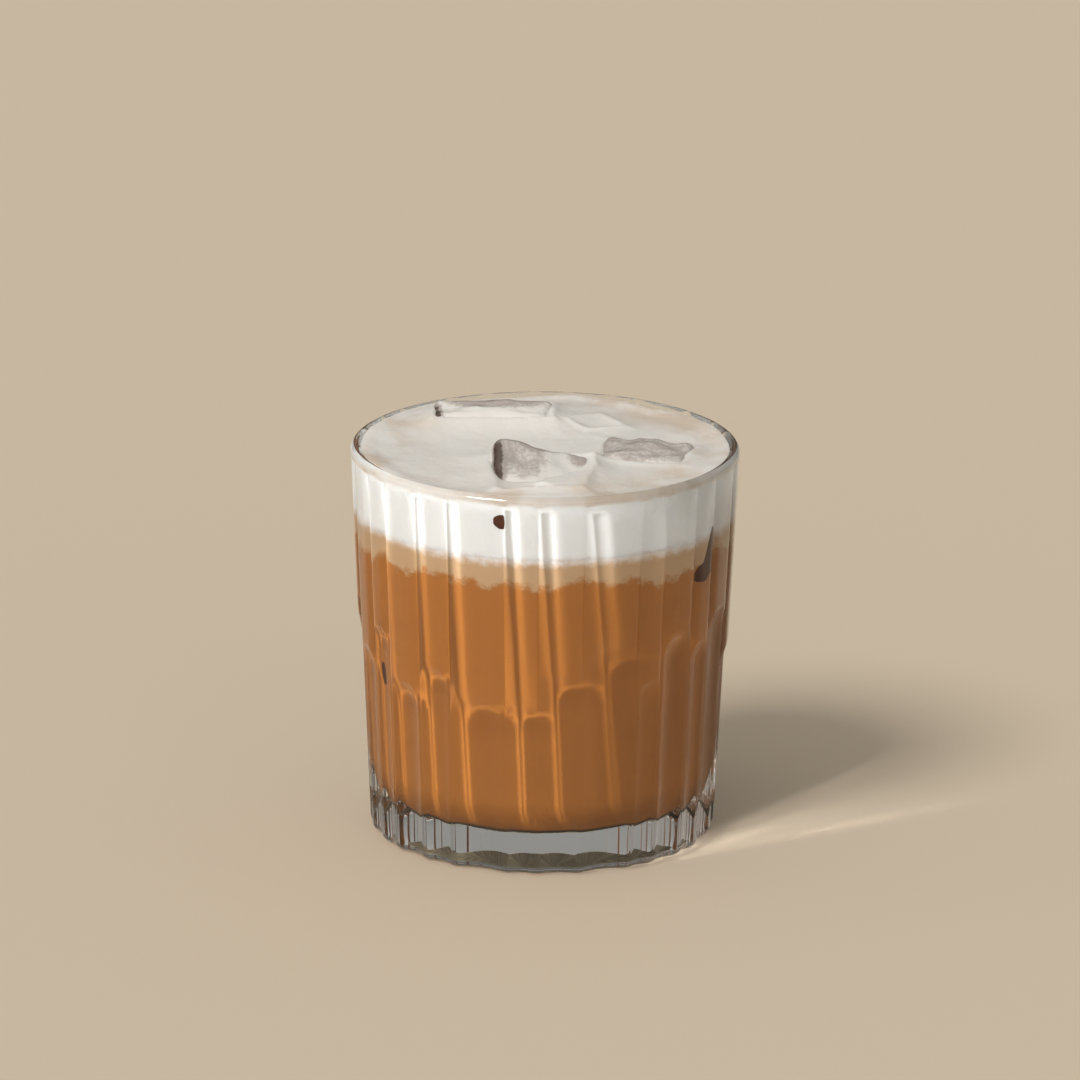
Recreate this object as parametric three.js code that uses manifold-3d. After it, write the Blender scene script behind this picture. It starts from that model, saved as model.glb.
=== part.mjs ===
// A glass of iced coffee: a pressed tumbler with uneven upright panels that end in arched flutes,
// filled to the rim with coffee, a blended layer and milk foam, with ice cubes breaking the foam.
// Millimetres, +Z up, origin at the centre of the foot, the viewer on the -Y side.
import * as THREE from "three";
import { mergeVertices } from "three/addons/utils/BufferGeometryUtils.js";
import Module from "manifold-3d";

const wasm = await Module();
wasm.setup();

// Driving dimensions of the tumbler.
const RIM_RADIUS = 42;
const LIP_RADIUS = 1.3; // half the thickness of the rounded lip
const OUTER_DRAFT = 0.048; // loss of radius for each millimetre further down
const FLOOR_HEIGHT = 7.4; // thickness of the glass base under the drink
const FLOOR_CORNER = 9; // radius between the inner wall and the floor
const INNER_DRAFT = 0.118; // loss of inner radius for each millimetre further down
const FOOT_ROUND = 2.6; // radius of the rounded lower edge
const FOOT_RING_INNER = 30.5; // where the flat ring it stands on ends
const PUNT_DEPTH = 0.4; // shallow hollow under the foot

// The panels: widths in degrees for a third of the way round, from the left edge of the broad
// panel at the front left, and the height of each arch top, with one row for each third.
const PANEL_WIDTHS = [18.6, 10.4, 14.3, 18.4, 9.2, 12.9, 9.9, 14.4, 11.9];
const ARCH_TOPS = [
  [40.5, 39.5, 46.5, 53.5, 43, 52, 48.5, 54, 43],
  [47, 41, 52, 42, 49, 45, 54, 40.5, 47.5],
  [51, 43.5, 40, 49.5, 54, 44, 50.5, 40.5, 45.5],
];
const ARCH_ZONE = [26, 56]; // the heights between which the arches bend
const FIRST_EDGE = -30.8; // azimuth of the first panel's left edge, 0 at the front, rising to the right
const COLUMNS_PER_PANEL = 4;
const PANEL_TOP = 83.4; // the panels fade into the lip above this
const LIP_START = 84.7;
const GROOVE_DEPTH = 0.85; // depth of the groove between two upper panels
const SHOULDER_WIDTH = 2; // how far from a groove a panel starts to curve into it
const FLUTE_DEPTH = 1.9; // depth of the widest flute between its ridges, narrower ones in proportion
const RIDGE_INSET = 0.5; // how far the ridges between the flutes lie inside the upper wall
const ARCH_STRETCH = 1.2; // height of an arch as a share of its half width
const FOOT_FLUTE = 0.9; // share of a flute's depth that is left at the foot
const EDGE_SOFTNESS = 0.4; // rounding of the edges between panels and flutes

// The drink.
const DRINK_GAP = 0.3; // room kept between the drink and the glass
const LAYER_GAP = 0.3;
const COFFEE_TOP = 66;
const BLEND_TOP = 71.5;
const FOAM_TOP = 85;
const DRINK_SEGMENTS = 48;
const ICE_GAP = 0.3;
const ICE_ROUND = 0.16; // share of a cube's half width that its rounded edges take

const DEGREE = Math.PI / 180;
const thirds = ARCH_TOPS.length;
const panels = [];
for (let third = 0, edge = FIRST_EDGE; third < thirds; third++) {
  PANEL_WIDTHS.forEach((width, i) => {
    panels.push({
      left: edge * DEGREE,
      centre: (edge + width / 2) * DEGREE,
      half: (width / 2) * DEGREE,
      top: ARCH_TOPS[third][i],
    });
    edge += width;
  });
}
const widestHalf = Math.max(...panels.map(({ half }) => half));

const outerRadius = (z) => RIM_RADIUS - OUTER_DRAFT * (LIP_START - z);
const innerRadius = (z) => {
  const straight = RIM_RADIUS - 2 * LIP_RADIUS - INNER_DRAFT * (LIP_START - z);
  const fromCorner = FLOOR_HEIGHT + FLOOR_CORNER - z;
  if (fromCorner <= 0) return straight;
  const level = Math.min(fromCorner, FLOOR_CORNER);
  return straight - FLOOR_CORNER + Math.sqrt(FLOOR_CORNER ** 2 - level ** 2);
};

// The lesser of two lengths, with the corner between them rounded off.
function softMin(a, b) {
  const spread = Math.max(EDGE_SOFTNESS - Math.abs(a - b), 0) / EDGE_SOFTNESS;
  return Math.min(a, b) - (spread * spread * EDGE_SOFTNESS) / 4;
}

// Radius of the panelled outer wall at an azimuth and a height.
function wallRadius(azimuth, z) {
  const plain = outerRadius(z);
  const fade = THREE.MathUtils.smoothstep(LIP_START - z, 0, LIP_START - PANEL_TOP);
  let upper = plain;
  let flutes = plain + 1;
  for (const { centre, half, top } of panels) {
    const turn = Math.atan2(Math.sin(azimuth - centre), Math.cos(azimuth - centre));
    if (Math.abs(turn) > 3 * half) continue;
    if (Math.abs(turn) <= half + 1e-6) {
      const fromGroove = (half - Math.abs(turn)) * plain;
      upper = plain - fade * GROOVE_DEPTH * Math.max(0, 1 - fromGroove / SHOULDER_WIDTH) ** 2;
    }
    const sag = (FLUTE_DEPTH * half) / widestHalf;
    const below = THREE.MathUtils.clamp((top - z) / (ARCH_STRETCH * half * plain), -1, 1);
    const middle = (sag + RIDGE_INSET) * (1 - (1 - below) ** 2);
    flutes = softMin(flutes, plain - middle + sag * (turn / half) ** 2);
  }
  return softMin(upper, flutes);
}

// Points of an arc about a centre, from one angle to another, in degrees.
function arc(cx, cz, radius, from, to, steps) {
  return Array.from({ length: steps + 1 }, (_, i) => {
    const a = (from + ((to - from) * i) / steps) * DEGREE;
    return new THREE.Vector2(cx + radius * Math.cos(a), cz + radius * Math.sin(a));
  });
}

// A closed lathe about +Z, with azimuth 0 at -Y, each vertex then moved by a function.
function turned(profile, segments, move) {
  const geometry = new THREE.LatheGeometry(profile, segments);
  geometry.rotateX(Math.PI / 2);
  const position = geometry.getAttribute("position");
  for (let i = 0; i < position.count; i++) {
    const x = position.getX(i);
    const y = position.getY(i);
    const moved = move(Math.atan2(x, -y), Math.hypot(x, y), position.getZ(i));
    position.setXYZ(
      i,
      moved.radius * Math.sin(moved.azimuth),
      -moved.radius * Math.cos(moved.azimuth),
      moved.z,
    );
  }
  return geometry;
}

// The lathe's even azimuths moved so that every panel gets the same number of columns, closer at its edges.
function panelAzimuth(azimuth) {
  const share = azimuth / (2 * Math.PI);
  const place = (share - Math.floor(share)) * panels.length;
  const nearest = Math.round(place * COLUMNS_PER_PANEL) / COLUMNS_PER_PANEL;
  const { left, half } = panels[Math.floor(nearest) % panels.length];
  return left + half * (1 - Math.cos(Math.PI * (nearest - Math.floor(nearest))));
}

function glassGeometry() {
  const footRadius = outerRadius(FOOT_ROUND);
  const heights = [];
  for (let z = FOOT_ROUND + 3; z < ARCH_ZONE[0] - 6; z += 9) heights.push(z);
  for (let z = ARCH_ZONE[0]; z <= ARCH_ZONE[1]; z += 3) heights.push(z);
  heights.push((ARCH_ZONE[1] + PANEL_TOP) / 2, PANEL_TOP, LIP_START - 0.5);
  const inner = [];
  for (let z = 76; z > FLOOR_HEIGHT + FLOOR_CORNER; z -= 25) {
    inner.push(new THREE.Vector2(innerRadius(z), z));
  }
  const lipCentre = RIM_RADIUS - LIP_RADIUS;
  const cornerCentre = innerRadius(FLOOR_HEIGHT + FLOOR_CORNER) - FLOOR_CORNER;
  const profile = [
    new THREE.Vector2(0, PUNT_DEPTH),
    new THREE.Vector2(FOOT_RING_INNER * 0.9, PUNT_DEPTH * 0.72),
    new THREE.Vector2(FOOT_RING_INNER, 0),
    ...arc(footRadius - FOOT_ROUND, FOOT_ROUND, FOOT_ROUND, -90, 0, 3),
    ...heights.map((z) => new THREE.Vector2(outerRadius(z), z)),
    ...arc(lipCentre, LIP_START, LIP_RADIUS, 0, 180, 5),
    ...inner,
    ...arc(cornerCentre, FLOOR_HEIGHT + FLOOR_CORNER, FLOOR_CORNER, 0, -90, 4),
    new THREE.Vector2(0, FLOOR_HEIGHT),
  ];
  return turned(profile, panels.length * COLUMNS_PER_PANEL, (azimuth, radius, z) => {
    const turnedTo = panelAzimuth(azimuth);
    const moved = { azimuth: turnedTo, radius, z };
    if (radius > outerRadius(z) - 0.01 && z > FOOT_ROUND && z < LIP_START) {
      moved.radius = wallRadius(turnedTo, z);
    } else if (radius > FOOT_RING_INNER + 0.1 && z < FOOT_ROUND + 0.01) {
      const flute = footRadius - wallRadius(turnedTo, FOOT_ROUND);
      moved.radius -= flute * THREE.MathUtils.lerp(FOOT_FLUTE, 1, z / FOOT_ROUND);
    }
    return moved;
  });
}

// Height of the uneven line where the coffee meets the blended layer.
function blendLine(azimuth, share) {
  const waves =
    1.1 * Math.sin(2 * azimuth + 2.2) +
    0.8 * Math.sin(5 * azimuth - 0.6) +
    0.6 * Math.sin(9 * azimuth + 1.3) +
    0.5 * Math.sin(14 * azimuth + 0.4);
  return COFFEE_TOP + waves * share;
}

// Height of the foam: long low swells and a creep up the wall.
function foamHeight(azimuth, radius) {
  const x = radius * Math.sin(azimuth);
  const y = -radius * Math.cos(azimuth);
  const swell = 0.2 * Math.sin(0.16 * x + 0.9) + 0.18 * Math.cos(0.21 * y - 0.1 * x);
  const creep = 0.35 * THREE.MathUtils.smoothstep(radius, 35, 39);
  return FOAM_TOP + swell + creep;
}

const RINGS = [0.9, 0.65, 0.35];

// A layer of the drink between two heights, each given by a function of azimuth and share of radius.
function layerGeometry(bottom, top, wallSteps, corner) {
  const low = bottom(0, 0);
  const high = top(0, 0);
  const flat = corner ? innerRadius(FLOOR_HEIGHT) : innerRadius(low);
  const profile = [new THREE.Vector2(0, low)];
  for (const share of [...RINGS].reverse()) profile.push(new THREE.Vector2(flat * share, low));
  const start = corner ? FLOOR_HEIGHT + FLOOR_CORNER : low;
  if (corner) {
    const centre = innerRadius(start) - FLOOR_CORNER;
    const bend = arc(centre, start, FLOOR_CORNER, -90, 0, 4);
    profile.push(...bend.slice(0, -1).map((p) => new THREE.Vector2(p.x, p.y + DRINK_GAP)));
  }
  for (let i = 0; i <= wallSteps; i++) {
    const z = start + ((high - start) * i) / wallSteps;
    profile.push(new THREE.Vector2(innerRadius(z), z));
  }
  for (const share of RINGS) profile.push(new THREE.Vector2(innerRadius(high) * share, high));
  profile.push(new THREE.Vector2(0, high));
  return turned(profile, DRINK_SEGMENTS, (azimuth, radius, z) => {
    const share = Math.min(1, radius / innerRadius(high));
    const upward = THREE.MathUtils.clamp((z - low) / (high - low), 0, 1) ** 3;
    const downward = THREE.MathUtils.clamp((high - z) / (high - low), 0, 1) ** 3;
    const newZ = z + (bottom(azimuth, share) - low) * downward + (top(azimuth, share) - high) * upward;
    const taper = innerRadius(newZ) - innerRadius(z) - DRINK_GAP;
    return { azimuth, radius: Math.max(0, radius + taper * share), z: newZ };
  });
}

// An ice cube with soft, slightly sunken faces, grown by a margin for the pocket it lies in.
function iceGeometry({ size, turn, centre }, grown = 0) {
  const [wide, deep, tall] = size.map((s) => s + 2 * grown);
  const geometry = new THREE.BoxGeometry(1, 1, 1, 4, 4, 4);
  const position = geometry.getAttribute("position");
  const power = 2 / ICE_ROUND;
  for (let i = 0; i < position.count; i++) {
    const p = new THREE.Vector3().fromBufferAttribute(position, i).multiplyScalar(2);
    const reach = (Math.abs(p.x) ** power + Math.abs(p.y) ** power + Math.abs(p.z) ** power) ** (1 / power);
    p.divideScalar(reach);
    position.setXYZ(i, (p.x * wide) / 2, (p.y * deep) / 2, (p.z * tall) / 2);
  }
  geometry.applyMatrix4(
    new THREE.Matrix4().makeRotationFromEuler(
      new THREE.Euler(turn[0] * DEGREE, turn[1] * DEGREE, turn[2] * DEGREE, "ZYX"),
    ),
  );
  geometry.translate(...centre);
  return geometry;
}

// A merged, closed solid for boolean cuts, from a geometry.
function solid(geometry) {
  const plain = geometry.clone();
  plain.deleteAttribute("normal");
  plain.deleteAttribute("uv");
  const merged = mergeVertices(plain, 1e-3);
  return new wasm.Manifold(
    new wasm.Mesh({
      numProp: 3,
      vertProperties: merged.getAttribute("position").array,
      triVerts: new Uint32Array(merged.index.array),
    }),
  );
}

function geometryOf(manifold) {
  const mesh = manifold.getMesh();
  const geometry = new THREE.BufferGeometry();
  geometry.setAttribute("position", new THREE.BufferAttribute(mesh.vertProperties, 3));
  geometry.setIndex(new THREE.BufferAttribute(mesh.triVerts, 1));
  geometry.computeVertexNormals();
  return geometry;
}

// Cubes as they lie: size, tilt and turn in degrees about X, Y and Z, and the centre.
const ICE = {
  ice_back: { size: [26, 10.4, 22], turn: [5, 1, 1], centre: [-11.6, 22.4, 77.4] },
  ice_front: { size: [22, 27, 17], turn: [15, 11, 3], centre: [-1.6, -20.9, 77.4] },
  ice_right: { size: [20, 15, 20], turn: [3, 3, -12], centre: [21.2, -3.2, 76.4] },
  ice_middle: { size: [11, 11, 15], turn: [9, -8, 32], centre: [10.6, 18.6, 77] },
};

const part = new THREE.Group();

function add(name, geometry, look) {
  const mesh = new THREE.Mesh(geometry, new THREE.MeshStandardMaterial(look));
  mesh.name = name;
  part.add(mesh);
}

add("glass", glassGeometry(), { color: 0xcfd3cc, roughness: 0.03, metalness: 0, transparent: true, opacity: 0.35 });

const layers = {
  coffee: {
    geometry: layerGeometry(() => FLOOR_HEIGHT + DRINK_GAP, blendLine, 2, true),
    look: { color: 0xa5602a, roughness: 0.35, metalness: 0 },
  },
  blended_layer: {
    geometry: layerGeometry((a, share) => blendLine(a, share) + LAYER_GAP, () => BLEND_TOP, 1, false),
    look: { color: 0xc09a78, roughness: 0.4, metalness: 0 },
  },
  milk_foam: {
    geometry: layerGeometry(
      () => BLEND_TOP + LAYER_GAP,
      (a, share) => foamHeight(a, share * innerRadius(FOAM_TOP)),
      2,
      false,
    ),
    look: { color: 0xefe9e0, roughness: 0.6, metalness: 0 },
  },
};

const pockets = Object.values(ICE).map((cube) => solid(iceGeometry(cube, ICE_GAP)));
for (const [name, { geometry, look }] of Object.entries(layers)) {
  const cut = pockets.reduce((body, pocket) => body.subtract(pocket), solid(geometry));
  add(name, geometryOf(cut), look);
}
for (const [name, cube] of Object.entries(ICE)) {
  add(name, iceGeometry(cube), { color: 0xb9b2aa, roughness: 0.12, metalness: 0 });
}

export default part;
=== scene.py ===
"""A glass of iced coffee: a pressed tumbler with layered coffee, milk foam, and ice under a film of milk."""
import math

import bmesh
import bpy
import numpy as np
from mathutils import Euler, Matrix, Vector, noise


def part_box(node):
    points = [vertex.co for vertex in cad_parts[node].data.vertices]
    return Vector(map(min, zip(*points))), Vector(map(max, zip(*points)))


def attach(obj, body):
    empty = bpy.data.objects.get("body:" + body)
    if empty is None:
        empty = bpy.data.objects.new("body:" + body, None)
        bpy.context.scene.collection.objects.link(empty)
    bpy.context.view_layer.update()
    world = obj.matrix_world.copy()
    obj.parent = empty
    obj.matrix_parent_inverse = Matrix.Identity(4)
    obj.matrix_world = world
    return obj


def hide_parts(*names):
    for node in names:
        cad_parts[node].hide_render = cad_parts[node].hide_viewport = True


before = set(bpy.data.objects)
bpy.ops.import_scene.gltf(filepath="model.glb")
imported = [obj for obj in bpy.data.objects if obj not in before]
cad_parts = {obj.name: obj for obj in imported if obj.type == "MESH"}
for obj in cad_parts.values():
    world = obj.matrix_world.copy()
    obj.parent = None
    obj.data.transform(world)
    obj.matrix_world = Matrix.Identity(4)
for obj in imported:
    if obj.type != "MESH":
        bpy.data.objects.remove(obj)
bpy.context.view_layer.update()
MM = 0.001

# Sizes of the tumbler in millimetres, taken from the frame where it holds them.
RIM_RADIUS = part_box("glass")[1].x / MM
LIP_RADIUS = 1.3
LIP_START = 84.7
OUTER_DRAFT = 0.048
INNER_DRAFT = 0.118
FLOOR_HEIGHT = 7.4
FLOOR_CORNER = 9.0
FOOT_ROUND = 2.6
FOOT_RING_INNER = 30.5
PUNT_DEPTH = 0.4

# The panels: widths in degrees for a third of the way round and the arch tops of each third.
PANEL_WIDTHS = [18.6, 10.4, 14.3, 18.4, 9.2, 12.9, 9.9, 14.4, 11.9]
ARCH_TOPS = [
    [40.5, 39.5, 46.5, 53.5, 43, 52, 48.5, 54, 43],
    [47, 41, 52, 42, 49, 45, 54, 40.5, 47.5],
    [51, 43.5, 40, 49.5, 54, 44, 50.5, 40.5, 45.5],
]
FIRST_EDGE = -30.8
PANEL_TOP = 83.4
GROOVE_DEPTH = 0.85
SHOULDER_WIDTH = 2.0
FLUTE_DEPTH = 1.9
RIDGE_INSET = 0.5
ARCH_STRETCH = 1.2
FOOT_FLUTE = 0.9
ARCH_SOFTNESS = 0.5
RIDGE_SOFTNESS = 0.9
COLUMNS_PER_PANEL = 14

# Rows of the wall as from, to and step, finest at the arches, and of its inside.
WALL_ROWS = [
    (FOOT_ROUND, 24, 0.9), (24, 36, 0.6), (36, 55, 0.3), (55, PANEL_TOP, 0.9), (PANEL_TOP, LIP_START, 0.3),
]
INSIDE_TOP = 82
INSIDE_STEP = 4
PUNT_RINGS = 15

# How the wall gathers or spreads the light that passes it: the distance over which its curve is read, the least
# and the most that it passes, and what the base passes.
WALL_THICKNESS = 4.5
GATHER_STEP = 0.7
GATHER_RANGE = (0.2, 3.6)
BASE_PASSES = 0.6

# The drink. Its pieces reach a little into the wall, so that no air gap shows.
COFFEE_TOP = 66.0
BLEND_TOP = 71.5
FOAM_TOP = 85.0
INTO_WALL = 0.3
DRINK_COLUMNS = 180
FOAM_RINGS = 70
FOAM_COLUMNS = 240
DISC_SHARES = (0.3, 0.6, 0.85)

# Waves of the line between coffee and blend: height, number round the glass and phase.
BLEND_WAVES = [(1.1, 2, 2.2), (0.8, 5, -0.6), (0.6, 9, 1.3), (0.5, 14, 0.4)]

# The foam: its creep up the wall, how far below the lip it stops, and a small fold at the front.
CREEP = 0.35
CREEP_START = 35
BRIM_GAP = 0.15
FOLD = (-0.4, -28.4)
FOLD_RISE = 0.55
FOLD_DIP = 0.8
FOLD_BOW = 0.12

ICE_BEVEL = 2.2
ICE_CUTS = 14
SUNK_BEVEL = 3.8

# The ice as it lies, as in the frame: size, turn in degrees, centre, height and width of the foam's bank
# against it, and where the milk has run off it.
ICE = {
    "ice_back": {
        "size": (26, 10.4, 22), "turn": (5, 1, 1), "centre": (-11.6, 22.4, 77.4),
        "bank": (2.3, 3.6),
        "runs": [((-1, -0.6, 1), (0.22, 1.8, 0.9), 1.0), ((0.1, 0.7, 1), (1.3, 1.3, 0.3), 0.6)],
    },
    "ice_front": {
        "size": (22, 27, 17), "turn": (15, 11, 3), "centre": (-1.6, -20.9, 77.4),
        "bank": (1.5, 2.4),
        "runs": [
            ((-1, 0.1, 1), (0.3, 1.5, 0.5), 1.0), ((-0.3, 1, 1), (1.0, 0.3, 0.4), 0.7),
            ((-0.5, 0.5, 1), (0.8, 0.9, 0.3), 0.5), ((0.75, 1, 0.8), (0.5, 0.8, 0.5), 0.7),
        ],
    },
    "ice_right": {
        "size": (20, 15, 20), "turn": (3, 3, -12), "centre": (21.2, -3.2, 76.4),
        "bank": (0.7, 2.0),
        "runs": [((-0.2, 0.1, 1), (2.2, 1.9, 0.5), 0.5), ((-1, -0.9, 1), (0.35, 0.3, 0.3), 0.9)],
    },
    "ice_middle": {
        "size": (11, 11, 15), "turn": (9, -8, 32), "centre": (10.6, 18.6, 77),
        "bank": (1.0, 2.4),
        "runs": [((1, 1, 1), (1.4, 1.4, 0.6), 0.6)],
    },
}

# The ice wholly in the drink: azimuth, height, tilt, size, and how far its edge goes into the wall.
SUNK_ICE = {
    "sunk_ice_front": (-13.8, 80.4, 20, (8, 8, 8), 0.6),
    "sunk_ice_right": (63.5, 69, -14, (11, 11, 19), 0.6),
    "sunk_ice_left": (-69, 39, 10, (10, 10, 10), 0.55),
}

# Colours.
MILK = (0.68, 0.685, 0.68)
# The foam's top and the ice's film: a cream that is partly its own tint and partly painted shade, darker than
# the milk of the side.
SHADED_FOAM_CREAM = (0.63, 0.60, 0.565)
BEIGE = (0.42, 0.28, 0.155)
BLEND = (0.40, 0.25, 0.135)
COFFEE = (0.30, 0.106, 0.0165)
COFFEE_STREAK = tuple(v * 1.05 for v in COFFEE)
# Painted light: the drink's underside, pale as if lit through the thick base, and its darker painted streaks.
PAINTED_BASE_LIGHT = (0.70, 0.62, 0.42)
PAINTED_BASE_RAY = tuple(v * 0.3 for v in PAINTED_BASE_LIGHT)
# Painted shade: a near-black line along the drink's bottom corner.
CORNER_SHADE_DARK = (0.02, 0.015, 0.01)
ICE_GREY = (0.33, 0.285, 0.255)
ICE_DARK = (0.055, 0.032, 0.022)
SUNK_DARK = (0.05, 0.014, 0.007)
CLEAR_GLASS = (0.985, 0.995, 0.988)
FLOOR_PAPER = (0.348, 0.286, 0.213)

# The suns as azimuth, elevation, spread and strength.
ROOM_SUN = (-42, 46, 20, 3.45)
DRINK_SUN = (-36, 27, 3, 1.85)
SUN_COLOR = (1, 0.985, 0.97)

# The studio: a dim room below, soft light above and a long bright box. The ramps run over the height of the
# direction and over how near it is to the box.
ROOM_LIGHT = (0.05, 0.052, 0.05)
SKY_LIGHT = (1.0, 0.985, 0.94)
SKY_RISE = (0.05, 0.75)
BOX_LIGHT = (1.75, 1.73, 1.66)
BOX_SIDE = (-0.55, -0.83, 0.0)
BOX_LOW_EDGE = (0.16, 0.26)
BOX_HIGH_EDGE = (0.72, 0.6)
BOX_END = (0.05, 0.35)
WORLD_STRENGTH = 0.8
FLOOR_SIZE = 6

# The photographed view: the image is 1080 pixels square.
VIEW_ELEVATION = math.radians(16.7)
VIEW_DISTANCE = 3.0
VIEW_AIM = Vector((-0.95, 0.0, 64.4)) * MM
VIEW_ROLL = math.radians(0.5)
LENS = 463.0
SENSOR = 36.0
FAR_CLIP = 50


def panel_list():
    """Every panel as its left edge, centre and half width in radians and the height of its arch."""
    panels = []
    edge = FIRST_EDGE
    for tops in ARCH_TOPS:
        for width, top in zip(PANEL_WIDTHS, tops):
            panels.append((
                math.radians(edge), math.radians(edge + width / 2), math.radians(width / 2), top,
            ))
            edge += width
    return panels


PANELS = panel_list()
WIDEST_HALF = max(half for _, _, half, _ in PANELS)


def outer_radius(z):
    return RIM_RADIUS - OUTER_DRAFT * (LIP_START - z)


def inner_radius(z):
    straight = RIM_RADIUS - 2 * LIP_RADIUS - INNER_DRAFT * (LIP_START - z)
    from_corner = FLOOR_HEIGHT + FLOOR_CORNER - z
    if from_corner <= 0:
        return straight
    level = min(from_corner, FLOOR_CORNER)
    return straight - FLOOR_CORNER + math.sqrt(FLOOR_CORNER**2 - level**2)


def smoothstep(x, low, high):
    t = min(1.0, max(0.0, (x - low) / (high - low)))
    return t * t * (3 - 2 * t)


def soft_min(a, b, softness):
    """The lesser of two values, with the corner between them rounded off."""
    spread = max(softness - abs(a - b), 0.0) / softness
    return min(a, b) - spread * spread * softness / 4


def wall_radius(azimuth, z):
    """Radius of the outer wall with its panels and flutes."""
    plain = outer_radius(z)
    fade = smoothstep(LIP_START - z, 0, LIP_START - PANEL_TOP)
    upper = plain
    flutes = plain + 1
    for _, centre, half, top in PANELS:
        turn = math.atan2(math.sin(azimuth - centre), math.cos(azimuth - centre))
        if abs(turn) > 3 * half:
            continue
        if abs(turn) <= half + 1e-6:
            from_groove = (half - abs(turn)) * plain
            upper = plain - fade * GROOVE_DEPTH * max(0.0, 1 - from_groove / SHOULDER_WIDTH) ** 2
        sag = FLUTE_DEPTH * half / WIDEST_HALF
        arch = ARCH_STRETCH * half * plain
        below = max(-1.0, min(1.0, (top - z) / arch))
        middle = (sag + RIDGE_INSET) * (1 - (1 - below) ** 2)
        cut = plain - middle + sag * (turn / half) ** 2
        flutes = soft_min(flutes, cut, RIDGE_SOFTNESS)
    return soft_min(upper, flutes, ARCH_SOFTNESS)


def arc(cx, cz, radius, start, end, steps):
    """Points of an arc in the XZ plane, angles in degrees."""
    points = []
    for i in range(steps + 1):
        a = math.radians(start + (end - start) * i / steps)
        points.append((cx + radius * math.cos(a), cz + radius * math.sin(a)))
    return points


def steps_between(low, high, step):
    count = max(1, round((high - low) / step))
    return [low + (high - low) * i / count for i in range(count + 1)]


def lathe(name, profile, columns, move=None):
    """Spins a profile of (radius, height) in millimetres into a closed piece, then moves its points."""
    bm = bmesh.new()
    verts = [bm.verts.new((0.0, -r, z)) for r, z in profile]
    for a, b in zip(verts, verts[1:]):
        bm.edges.new((a, b))
    bmesh.ops.spin(
        bm, geom=bm.verts[:] + bm.edges[:], cent=(0, 0, 0), axis=(0, 0, 1),
        angle=2 * math.pi, steps=columns, use_merge=True,
    )
    bmesh.ops.remove_doubles(bm, verts=bm.verts[:], dist=1e-4)
    if move:
        for vert in bm.verts:
            radius = math.hypot(vert.co.x, vert.co.y)
            azimuth = math.atan2(vert.co.x, -vert.co.y)
            azimuth, radius, z = move(azimuth, radius, vert.co.z)
            vert.co = (radius * math.sin(azimuth), -radius * math.cos(azimuth), z)
    bmesh.ops.recalc_face_normals(bm, faces=bm.faces[:])
    return finish_mesh(name, bm)


def finish_mesh(name, bm):
    """Turns a bmesh in millimetres into an object in metres at the origin."""
    bmesh.ops.scale(bm, vec=(MM, MM, MM), verts=bm.verts[:])
    mesh = bpy.data.meshes.new(name)
    bm.to_mesh(mesh)
    bm.free()
    for face in mesh.polygons:
        face.use_smooth = True
    piece = bpy.data.objects.new(name, mesh)
    bpy.context.scene.collection.objects.link(piece)
    return piece


def panel_azimuth(azimuth):
    """Spreads the even columns so that each panel has the same number, close together at its edges."""
    place = (azimuth / (2 * math.pi)) % 1.0 * len(PANELS)
    column = round(place * COLUMNS_PER_PANEL)
    index = column // COLUMNS_PER_PANEL % len(PANELS)
    share = column % COLUMNS_PER_PANEL / COLUMNS_PER_PANEL
    left, _, half, _ = PANELS[index]
    return left + half * (1 - math.cos(math.pi * share))


def make_tumbler():
    foot_radius = outer_radius(FOOT_ROUND)
    corner_centre = inner_radius(FLOOR_HEIGHT + FLOOR_CORNER) - FLOOR_CORNER
    wall = [z for low, high, step in WALL_ROWS for z in steps_between(low, high, step)[1:]][:-1]
    inner = steps_between(FLOOR_HEIGHT + FLOOR_CORNER, INSIDE_TOP, INSIDE_STEP)[1:]
    profile = [(0, PUNT_DEPTH)]
    for ring in range(1, PUNT_RINGS + 1):
        share = ring / PUNT_RINGS
        profile.append((FOOT_RING_INNER * share, PUNT_DEPTH * (1 - share**12)))
    profile += arc(foot_radius - FOOT_ROUND, FOOT_ROUND, FOOT_ROUND, -90, 0, 8)
    profile += [(outer_radius(z), z) for z in wall]
    profile += arc(RIM_RADIUS - LIP_RADIUS, LIP_START, LIP_RADIUS, 0, 180, 16)
    profile += [(inner_radius(z), z) for z in reversed(inner)]
    profile += arc(corner_centre, FLOOR_HEIGHT + FLOOR_CORNER, FLOOR_CORNER, 0, -90, 12)
    profile += [(corner_centre * 0.6, FLOOR_HEIGHT), (0, FLOOR_HEIGHT)]

    def move(azimuth, radius, z):
        azimuth = panel_azimuth(azimuth)
        if radius > outer_radius(z) - 0.01 and FOOT_ROUND < z < LIP_START:
            radius = wall_radius(azimuth, z)
        elif radius > FOOT_RING_INNER and z < FOOT_ROUND + 0.01:
            flute = outer_radius(FOOT_ROUND) - wall_radius(azimuth, FOOT_ROUND)
            radius -= flute * (FOOT_FLUTE + (1 - FOOT_FLUTE) * z / FOOT_ROUND)
        return azimuth, radius, z

    return lathe("tumbler", profile, len(PANELS) * COLUMNS_PER_PANEL, move)


def bend(values, places, step, period=None):
    """How sharply a line of radii turns: positive where it bulges, negative where it is hollow."""
    ahead = np.interp(places + step, places, values, period=period)
    behind = np.interp(places - step, places, values, period=period)
    return (2 * values - ahead - behind) / step**2


def gathered(turns):
    """How much light of a far lamp a surface that bulges gathers on the drink behind it, 1 for a flat one."""
    return 1 / (1 - np.clip(WALL_THICKNESS * turns / 3, -1.6, 0.68))


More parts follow.
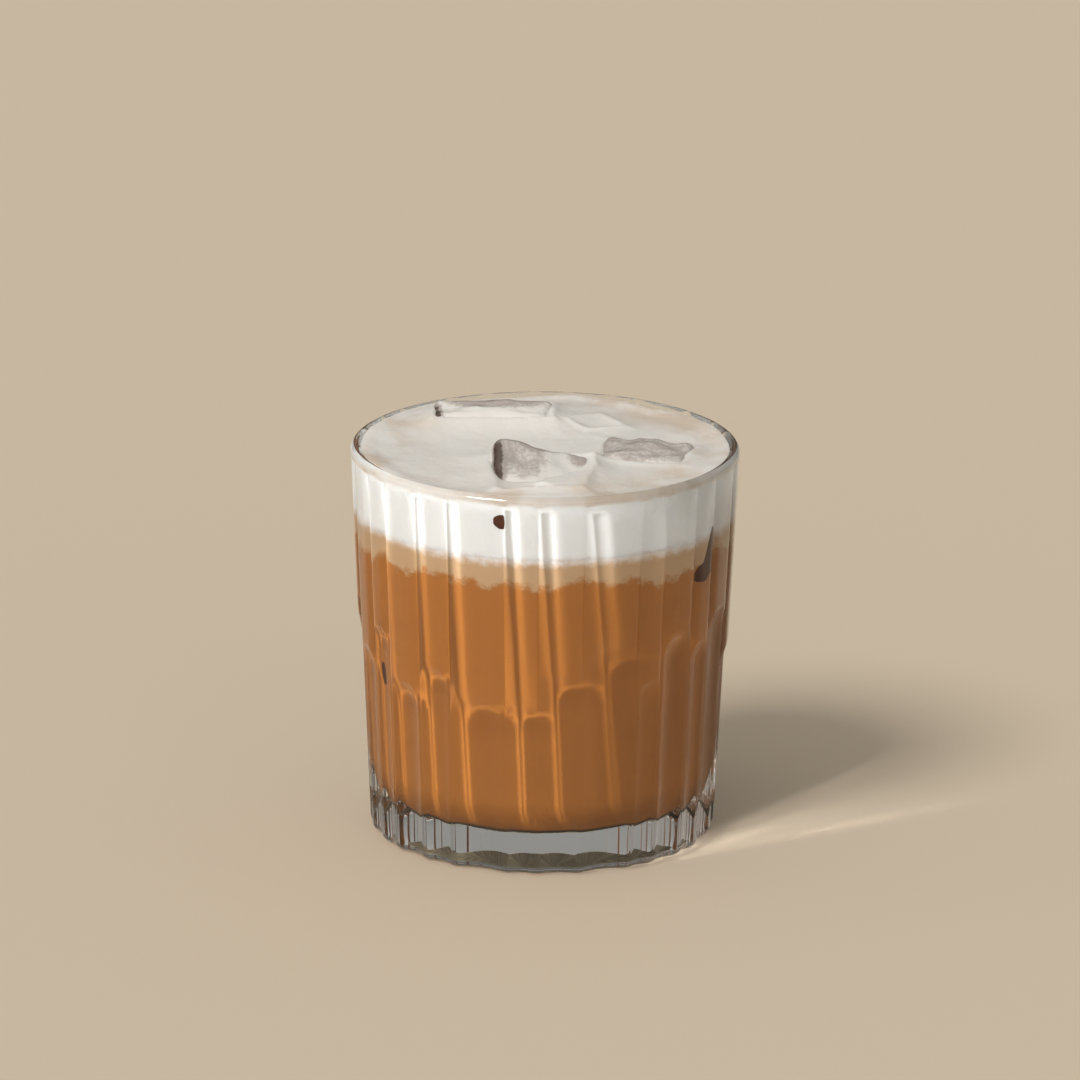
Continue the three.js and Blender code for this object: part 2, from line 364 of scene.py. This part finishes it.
def store_gather(piece):
    """Stores on every point of the outer wall how it gathers or spreads the light that passes it."""
    points = np.array([v.co for v in piece.data.vertices]) / MM
    radii = np.hypot(points[:, 0], points[:, 1])
    azimuths = np.arctan2(points[:, 0], -points[:, 1])
    heights = np.round(points[:, 2], 3)
    halfway = np.array([0.6 * inner_radius(z) + 0.4 * outer_radius(z) for z in heights])
    outside = radii > halfway
    values = np.ones(len(points), dtype=np.float32)
    rows = []
    on_wall = outside & (heights > FOOT_ROUND + 0.01) & (heights < LIP_START - 0.01)
    for height in np.unique(heights[on_wall]):
        row = np.nonzero(outside & (heights == height))[0]
        rows.append(row[np.argsort(azimuths[row])])
    grid = np.array(rows)
    across = azimuths[grid[0]] * RIM_RADIUS
    up = heights[grid[:, 0]]
    circle = 2 * math.pi * RIM_RADIUS
    sideways = np.array([bend(line, across, GATHER_STEP, circle) for line in radii[grid]])
    upright = np.array([bend(line, up, GATHER_STEP) for line in radii[grid].T]).T
    values[grid] = np.clip(gathered(sideways) * gathered(upright), *GATHER_RANGE)
    values[heights < FLOOR_HEIGHT] = BASE_PASSES
    piece.data.attributes.new("gather", "FLOAT", "POINT").data.foreach_set("value", values)


def blend_line(azimuth, share):
    """Height of the uneven line where the coffee meets the blended layer."""
    waves = sum(height * math.sin(number * azimuth + phase) for height, number, phase in BLEND_WAVES)
    return COFFEE_TOP + waves * share


def foam_height(x, y):
    """Height of the foam: long low swells and a creep up the wall."""
    swell = 0.2 * math.sin(0.16 * x + 0.9) + 0.18 * math.cos(0.21 * y - 0.1 * x)
    return FOAM_TOP + swell + CREEP * smoothstep(math.hypot(x, y), CREEP_START, CREEP_START + 4)


def block_matrix(block):
    turn = Euler([math.radians(v) for v in block["turn"]], "XYZ").to_matrix().to_4x4()
    return Matrix.Translation(block["centre"]) @ turn


def outside_distance(block, point):
    """How far a point lies outside a block, negative between its sides."""
    local = block_matrix(block).inverted() @ point
    over = [abs(v) - s / 2 for v, s in zip(local, block["size"])]
    outside = math.sqrt(sum(max(v, 0.0) ** 2 for v in over))
    return outside + min(max(over[:2]), 0.0)


def foam_surface(x, y):
    """The foam with the banks that it forms where it meets the ice, a small fold and fine ripples."""
    z = foam_height(x, y)
    for block in ICE.values():
        near = outside_distance(block, Vector((x, y, z)))
        height, width = block["bank"]
        z += height * math.exp(-abs(near) / width)
    across, along = x - FOLD[0], y - FOLD[1]
    bow = FOLD_BOW * across**2
    z += FOLD_RISE * math.exp(-((along - 0.5 - bow) / 0.7) ** 2 - (across / 2.2) ** 2)
    z -= FOLD_DIP * math.exp(-((along + 0.9 - bow) / 0.7) ** 2 - (across / 1.6) ** 2)
    ripple = noise.noise(Vector((x, y, 0)) * 0.12) * 0.25 + noise.noise(Vector((x, y, 3)) * 0.45) * 0.07
    brim = LIP_START + LIP_RADIUS - BRIM_GAP + 4 * (1 - smoothstep(math.hypot(x, y), 30, 38))
    return min(z + ripple, brim)


def disc(radius, z):
    """Points of a layer's flat face, from the middle to near the wall."""
    return [(0, z)] + [(radius * share, z) for share in DISC_SHARES]


def make_coffee():
    flat = inner_radius(FLOOR_HEIGHT + FLOOR_CORNER) - FLOOR_CORNER
    start = FLOOR_HEIGHT + FLOOR_CORNER
    profile = disc(flat, FLOOR_HEIGHT - INTO_WALL)
    profile += arc(flat, start, FLOOR_CORNER + INTO_WALL, -90, 0, 14)
    profile += [(inner_radius(z) + INTO_WALL, z) for z in steps_between(start, COFFEE_TOP, 2.0)[1:]]
    profile += reversed(disc(inner_radius(COFFEE_TOP), COFFEE_TOP))

    def move(azimuth, radius, z):
        up = max(0.0, (z - start) / (COFFEE_TOP - start)) ** 3
        new_z = z + (blend_line(azimuth, radius / inner_radius(COFFEE_TOP)) - COFFEE_TOP) * up
        taper = inner_radius(max(new_z, start)) - inner_radius(max(z, start))
        return azimuth, radius + taper * min(1.0, radius / inner_radius(z)), new_z

    return lathe("coffee_fill", profile, DRINK_COLUMNS, move)


def make_blended_layer():
    low = COFFEE_TOP
    profile = disc(inner_radius(low), low)
    profile += [(inner_radius(z) + INTO_WALL, z) for z in steps_between(low, BLEND_TOP, 1.0)]
    profile += reversed(disc(inner_radius(BLEND_TOP), BLEND_TOP))

    def move(azimuth, radius, z):
        down = ((BLEND_TOP - z) / (BLEND_TOP - low)) ** 3
        share = min(1.0, radius / inner_radius(low))
        new_z = z + (blend_line(azimuth, share) - COFFEE_TOP) * down
        return azimuth, radius + (inner_radius(new_z) - inner_radius(z)) * share, new_z

    return lathe("blended_fill", profile, DRINK_COLUMNS, move)


def make_foam():
    profile = disc(inner_radius(BLEND_TOP), BLEND_TOP)
    profile += [(inner_radius(z) + INTO_WALL, z) for z in steps_between(BLEND_TOP, FOAM_TOP, 1.0)]
    edge = inner_radius(FOAM_TOP) + INTO_WALL
    profile += [(edge * (1 - i / FOAM_RINGS), FOAM_TOP) for i in range(1, FOAM_RINGS + 1)]

    def move(azimuth, radius, z):
        if z < FOAM_TOP - 0.01:
            return azimuth, radius, z
        return azimuth, radius, foam_surface(radius * math.sin(azimuth), -radius * math.cos(azimuth))

    return lathe("foam_fill", profile, FOAM_COLUMNS, move)


def make_ice(name, block):
    """A melting block: a bevelled cube whose faces are finely divided and gently uneven."""
    bm = bmesh.new()
    bmesh.ops.create_cube(bm, size=1)
    bmesh.ops.scale(bm, vec=block["size"], verts=bm.verts[:])
    bmesh.ops.bevel(
        bm, geom=bm.edges[:] + bm.verts[:], offset=ICE_BEVEL, offset_type="OFFSET", segments=4,
        profile=0.5, affect="EDGES", material=-1,
    )
    bmesh.ops.subdivide_edges(
        bm, edges=[e for e in bm.edges if e.calc_length() > 3], cuts=ICE_CUTS, use_grid_fill=True,
    )
    bm.normal_update()
    seed = len(name) * 7.3
    for vert in bm.verts:
        at = vert.co * 0.13 + Vector((seed, 0, 0))
        dent = noise.noise(at) * 1.3 + noise.noise(at * 3.3) * 0.35
        vert.co += vert.normal * (dent - 0.3)
    bare = [bareness(block, vert.co) for vert in bm.verts]
    bmesh.ops.transform(bm, matrix=block_matrix(block), verts=bm.verts[:])
    layer = bm.verts.layers.float.new("bare")
    for vert, value in zip(bm.verts, bare):
        vert[layer] = value
    bmesh.ops.recalc_face_normals(bm, faces=bm.faces[:])
    return finish_mesh(name + "_block", bm)


def make_sunk_ice(name, azimuth, height, tilt, size, poke):
    """A block wholly in the drink, with one rounded edge against the glass."""
    bm = bmesh.new()
    bmesh.ops.create_cube(bm, size=1)
    bmesh.ops.scale(bm, vec=size, verts=bm.verts[:])
    bmesh.ops.bevel(
        bm, geom=bm.edges[:] + bm.verts[:], offset=SUNK_BEVEL, offset_type="OFFSET", segments=6,
        profile=0.5, affect="EDGES", material=-1,
    )
    reach = math.hypot(size[0], size[1]) / 2 - SUNK_BEVEL * (math.sqrt(2) - 1)
    side = math.radians(azimuth)
    radius = inner_radius(height) + poke - reach
    place = Matrix.Translation((radius * math.sin(side), -radius * math.cos(side), height))
    out = Matrix.Rotation(side + math.radians(-90), 4, "Z")
    lean = Matrix.Rotation(math.atan(INNER_DRAFT), 4, "Y") @ Matrix.Rotation(math.radians(tilt), 4, "X")
    edge = Matrix.Rotation(math.atan2(size[1], size[0]), 4, "Z")
    bmesh.ops.transform(bm, matrix=place @ out @ lean @ edge, verts=bm.verts[:])
    bmesh.ops.recalc_face_normals(bm, faces=bm.faces[:])
    return finish_mesh(name, bm)


def bareness(block, point):
    """How far the film of milk has run off a block here, from 0 to 1. Each run is a place in block shares."""
    share = Vector([2 * v / s for v, s in zip(point, block["size"])])
    most = 0.0
    for place, reach, strength in block["runs"]:
        gaps = [(a - b) / r for a, b, r in zip(share, place, reach)]
        distance = math.sqrt(sum(g * g for g in gaps))
        most = max(most, strength * (1 - smoothstep(distance, 0.45, 1.0)))
    return most


def new_material(name):
    material = bpy.data.materials.new(name)
    material.use_nodes = True
    tree = material.node_tree
    return material, tree, tree.nodes["Principled BSDF"]


def plain_material(name, color, roughness, gloss=0.5):
    material, _, shader = new_material(name)
    shader.inputs["Base Color"].default_value = (*color, 1)
    shader.inputs["Roughness"].default_value = roughness
    shader.inputs["Specular IOR Level"].default_value = gloss
    return material


def feed(tree, socket, value):
    """Links an output to a socket, or sets the socket to a number or a colour."""
    if isinstance(value, bpy.types.NodeSocket):
        tree.links.new(value, socket)
    else:
        socket.default_value = value


def node(tree, kind, **inputs):
    """Adds a node. A name that starts with _ is a setting, and i with a number is an input by its place."""
    made = tree.nodes.new(kind)
    for key, value in inputs.items():
        if key.startswith("_"):
            setattr(made, key[1:], value)
    for key, value in inputs.items():
        if key.startswith("_"):
            continue
        by_place = key[0] == "i" and key[1:].isdigit()
        feed(tree, made.inputs[int(key[1:]) if by_place else key.replace("_", " ")], value)
    return made


def math_node(tree, operation, a, b=0.0, clamp=False):
    return node(tree, "ShaderNodeMath", _operation=operation, _use_clamp=clamp, i0=a, i1=b).outputs[0]


def mix_color(tree, factor, a, b):
    made = node(tree, "ShaderNodeMix", _data_type="RGBA")
    feed(tree, made.inputs[0], factor)
    for socket, color in ((made.inputs[6], a), (made.inputs[7], b)):
        feed(tree, socket, (*color, 1) if isinstance(color, tuple) else color)
    return made.outputs[2]


def ramp_between(tree, value, low, high):
    return node(
        tree, "ShaderNodeMapRange", _interpolation_type="SMOOTHSTEP",
        Value=value, From_Min=low, From_Max=high,
    ).outputs[0]


def object_point(tree, scale=1.0):
    coordinates = node(tree, "ShaderNodeTexCoord").outputs["Object"]
    return node(tree, "ShaderNodeVectorMath", _operation="SCALE", i0=coordinates, Scale=scale).outputs[0]


def noise_node(tree, point, scale, detail=3.0, roughness=0.5):
    return node(
        tree, "ShaderNodeTexNoise", Vector=point, Scale=scale, Detail=detail, Roughness=roughness,
    ).outputs["Fac"]


def about_nought(tree, value, width):
    """A noise of nought to one, moved to lie about nought and made as wide as given."""
    return math_node(tree, "MULTIPLY", math_node(tree, "SUBTRACT", value, 0.5), width)


def drink_tone_group():
    """Colour of the drink by height: coffee, ragged blend and milk, with painted shade along the bottom corner
    and a painted pale underside crossed by darker streaks, standing for light through the thick base. Heights
    are in millimetres.
    """
    group = bpy.data.node_groups.new("drink_tone", "ShaderNodeTree")
    group.interface.new_socket("Color", in_out="OUTPUT", socket_type="NodeSocketColor")
    out = group.nodes.new("NodeGroupOutput")
    point = object_point(group, 1000.0)
    split = node(group, "ShaderNodeSeparateXYZ", Vector=point)
    z = split.outputs["Z"]
    flat = node(group, "ShaderNodeCombineXYZ", X=split.outputs["X"], Y=split.outputs["Y"], Z=0.0).outputs[0]
    broad = noise_node(group, flat, 0.09, 1.0)
    ragged = noise_node(group, point, 0.42, 6.0, 0.72)
    fine = noise_node(group, point, 1.6, 4.0, 0.6)
    shift = math_node(group, "ADD", about_nought(group, broad, 9.0), about_nought(group, ragged, 7.0))
    lower = ramp_between(group, math_node(group, "ADD", z, shift), COFFEE_TOP - 1.2, COFFEE_TOP + 0.9)
    cloud = math_node(group, "ADD", about_nought(group, ragged, 3.5), broad)
    upper = ramp_between(group, math_node(group, "ADD", z, cloud), BLEND_TOP - 1.6, BLEND_TOP + 1.6)
    streak = ramp_between(group, fine, 0.35, 0.75)
    coffee = mix_color(group, streak, COFFEE, COFFEE_STREAK)
    blend = mix_color(group, ragged, BLEND, BEIGE)
    color = mix_color(group, upper, mix_color(group, lower, coffee, blend), MILK)
    # Painted shade: the drink turns near black just above the glass floor, along its bottom corner.
    corner_shade = ramp_between(group, z, FLOOR_HEIGHT + 1.5, FLOOR_HEIGHT + 0.7)
    color = mix_color(group, corner_shade, color, CORNER_SHADE_DARK)
    # Painted light and shade: a pale underside crossed by darker streaks, standing for light that the thick
    # faceted base gathers.
    round_way = node(group, "ShaderNodeVectorMath", _operation="NORMALIZE", i0=flat).outputs[0]
    rays = ramp_between(group, noise_node(group, round_way, 11.0, 3.0, 0.7), 0.36, 0.62)
    under = mix_color(group, rays, PAINTED_BASE_RAY, PAINTED_BASE_LIGHT)
    underside = ramp_between(group, z, FLOOR_HEIGHT + 0.35, FLOOR_HEIGHT + 0.05)
    color = mix_color(group, underside, color, under)
    group.links.new(color, out.inputs["Color"])
    return group


def drink_material(name, tone):
    material, tree, shader = new_material(name)
    drink = tree.nodes.new("ShaderNodeGroup")
    drink.node_tree = tone
    tree.links.new(drink.outputs["Color"], shader.inputs["Base Color"])
    shader.inputs["Roughness"].default_value = 0.6
    shader.inputs["Specular IOR Level"].default_value = 0.15
    return material


def foam_material(tone):
    """Milk foam: white at the side, cream on top that is partly its own tint and partly painted shade, with
    beige tints near the wall, wet, with fine bubbles.
    """
    material, tree, shader = new_material("milk_foam")
    drink = tree.nodes.new("ShaderNodeGroup")
    drink.node_tree = tone
    point = object_point(tree, 1000.0)
    split = node(tree, "ShaderNodeSeparateXYZ", Vector=point)
    # Partly painted shade: the top takes the darker cream, while the side keeps the lighter milk.
    shaded_top = ramp_between(tree, split.outputs["Z"], FOAM_TOP - 1.5, FOAM_TOP - 0.6)
    color = mix_color(tree, shaded_top, drink.outputs["Color"], SHADED_FOAM_CREAM)
    across = node(
        tree, "ShaderNodeCombineXYZ", X=split.outputs["X"], Y=split.outputs["Y"], Z=0.0,
    ).outputs[0]
    out = node(tree, "ShaderNodeVectorMath", _operation="LENGTH", i0=across).outputs["Value"]
    patches = ramp_between(tree, noise_node(tree, point, 0.075, 4.0, 0.55), 0.42, 0.68)
    tint = math_node(tree, "MULTIPLY", patches, ramp_between(tree, out, 22.0, 38.0))
    tint = math_node(tree, "MULTIPLY", math_node(tree, "MULTIPLY", tint, shaded_top), 0.55)
    color = mix_color(tree, tint, color, BEIGE)
    tree.links.new(color, shader.inputs["Base Color"])
    shader.inputs["Roughness"].default_value = 0.38
    shader.inputs["Specular IOR Level"].default_value = 0.35
    shader.inputs["Subsurface Weight"].default_value = 0.5
    shader.inputs["Subsurface Radius"].default_value = (1.0, 0.9, 0.75)
    shader.inputs["Subsurface Scale"].default_value = 0.003
    bubbles = noise_node(tree, point, 0.8, 5.0)
    bump = node(tree, "ShaderNodeBump", Strength=0.25, Distance=0.0004, Height=bubbles)
    tree.links.new(bump.outputs[0], shader.inputs["Normal"])
    return material


def ice_material():
    """Wet ice under a film of milk, dark where the film has run off, speckled at the film's edge."""
    material, tree, shader = new_material("filmed_ice")
    bare = node(tree, "ShaderNodeAttribute", _attribute_name="bare").outputs["Fac"]
    point = object_point(tree, 1000.0)
    speckle = noise_node(tree, point, 1.1, 6.0, 0.7)
    cloud = noise_node(tree, point, 0.22, 3.0)
    worn = math_node(tree, "ADD", bare, about_nought(tree, speckle, 0.7))
    worn = math_node(tree, "ADD", worn, about_nought(tree, cloud, 0.5))
    grey = ramp_between(tree, worn, 0.18, 0.62)
    dark = ramp_between(tree, worn, 0.72, 0.98)
    # The film takes the foam's cream, which is partly painted shade.
    color = mix_color(tree, dark, mix_color(tree, grey, SHADED_FOAM_CREAM, ICE_GREY), ICE_DARK)
    tree.links.new(color, shader.inputs["Base Color"])
    shader.inputs["Roughness"].default_value = 0.22
    melt = noise_node(tree, point, 0.5, 4.0)
    bump = node(tree, "ShaderNodeBump", Strength=0.3, Distance=0.0005, Height=melt)
    tree.links.new(bump.outputs[0], shader.inputs["Normal"])
    return material


def glass_material():
    """Clear glass. Direct light passes straight through, gathered by rounded edges and spread by hollows."""
    material, tree, shader = new_material("clear_glass")
    shader.inputs["Base Color"].default_value = (*CLEAR_GLASS, 1)
    shader.inputs["Roughness"].default_value = 0.0
    shader.inputs["IOR"].default_value = 1.5
    shader.inputs["Transmission Weight"].default_value = 1.0
    gather = node(tree, "ShaderNodeAttribute", _attribute_name="gather").outputs["Fac"]
    passing = node(tree, "ShaderNodeBsdfTransparent", Color=gather).outputs[0]
    for_shadow = node(tree, "ShaderNodeLightPath").outputs["Is Shadow Ray"]
    both = node(tree, "ShaderNodeMixShader", i0=for_shadow, i1=shader.outputs[0], i2=passing)
    tree.links.new(both.outputs[0], tree.nodes["Material Output"].inputs["Surface"])
    return material


def set_material(piece, material):
    piece.data.materials.clear()
    piece.data.materials.append(material)


def make_camera():
    camera = bpy.data.cameras.new("camera")
    camera.lens = LENS
    camera.sensor_width = SENSOR
    camera.clip_end = FAR_CLIP
    holder = bpy.data.objects.new("camera", camera)
    bpy.context.scene.collection.objects.link(holder)
    back = Vector((0, -math.cos(VIEW_ELEVATION), math.sin(VIEW_ELEVATION)))
    holder.location = VIEW_AIM + back * VIEW_DISTANCE
    turn = (-back).to_track_quat("-Z", "Y").to_matrix().to_4x4()
    holder.matrix_world = Matrix.Translation(holder.location) @ turn @ Matrix.Rotation(VIEW_ROLL, 4, "Z")
    bpy.context.scene.camera = holder
    bpy.context.scene.view_settings.view_transform = "Standard"


def make_sun(name, azimuth, elevation, spread, strength, pieces):
    """A soft key light for some of the pieces."""
    sun = bpy.data.lights.new(name, "SUN")
    sun.energy = strength
    sun.angle = math.radians(spread)
    sun.color = SUN_COLOR
    holder = bpy.data.objects.new(name, sun)
    bpy.context.scene.collection.objects.link(holder)
    side, height = math.radians(azimuth), math.radians(elevation)
    flat = math.cos(height)
    away = Vector((-math.sin(side) * flat, math.cos(side) * flat, -math.sin(height)))
    holder.rotation_euler = away.to_track_quat("-Z", "Y").to_euler()
    lit = bpy.data.collections.new(name)
    for piece in pieces:
        lit.objects.link(piece)
    holder.light_linking.receiver_collection = lit


def make_world():
    """Soft light from above that falls off to a dim room, with a long bright box round the front left."""
    world = bpy.data.worlds.new("studio")
    world.use_nodes = True
    tree = world.node_tree
    direction = node(tree, "ShaderNodeTexCoord").outputs["Generated"]
    up = node(tree, "ShaderNodeSeparateXYZ", Vector=direction).outputs["Z"]
    near = node(
        tree, "ShaderNodeVectorMath", _operation="DOT_PRODUCT", i0=direction, i1=BOX_SIDE,
    ).outputs["Value"]
    band = math_node(
        tree, "MULTIPLY", ramp_between(tree, up, *BOX_LOW_EDGE), ramp_between(tree, up, *BOX_HIGH_EDGE),
    )
    box = math_node(tree, "MULTIPLY", band, ramp_between(tree, near, *BOX_END))
    sky = mix_color(tree, ramp_between(tree, up, *SKY_RISE), ROOM_LIGHT, SKY_LIGHT)
    background = tree.nodes["Background"]
    tree.links.new(mix_color(tree, box, sky, BOX_LIGHT), background.inputs["Color"])
    background.inputs["Strength"].default_value = WORLD_STRENGTH
    bpy.context.scene.world = world


def make_floor():
    bm = bmesh.new()
    bmesh.ops.create_grid(bm, x_segments=1, y_segments=1, size=FLOOR_SIZE)
    mesh = bpy.data.meshes.new("floor")
    bm.to_mesh(mesh)
    bm.free()
    floor = bpy.data.objects.new("floor", mesh)
    bpy.context.scene.collection.objects.link(floor)
    set_material(floor, plain_material("floor_paper", FLOOR_PAPER, 0.9))
    return floor


def dress(piece, node_name, material):
    """Gives a piece its material and sharp edges, and puts it in the place of its node."""
    set_material(piece, material)
    piece.data.set_sharp_from_angle(angle=math.radians(50))
    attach(piece, "root")
    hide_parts(node_name)
    return piece


def place_tumbler():
    tumbler = make_tumbler()
    set_material(tumbler, glass_material())
    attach(tumbler, "root")
    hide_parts("glass")
    store_gather(tumbler)
    return tumbler


def place_layers():
    tone = drink_tone_group()
    return [
        dress(make_coffee(), "coffee", drink_material("coffee", tone)),
        dress(make_blended_layer(), "blended_layer", drink_material("blended_milk", tone)),
        dress(make_foam(), "milk_foam", foam_material(tone)),
    ]


def place_sunk_ice():
    dark_ice = plain_material("sunk_ice", SUNK_DARK, 0.5, 0.0)
    pieces = []
    for name, place in SUNK_ICE.items():
        piece = make_sunk_ice(name, *place)
        set_material(piece, dark_ice)
        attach(piece, "root")
        pieces.append(piece)
    return pieces


def place_ice():
    look = ice_material()
    return [dress(make_ice(name, block), name, look) for name, block in ICE.items()]


def build_scene():
    make_camera()
    make_world()
    floor = make_floor()
    tumbler = place_tumbler()
    drink = place_layers() + place_sunk_ice() + place_ice()
    make_sun("room_sun", *ROOM_SUN, [floor, tumbler])
    make_sun("drink_sun", *DRINK_SUN, drink)


build_scene()
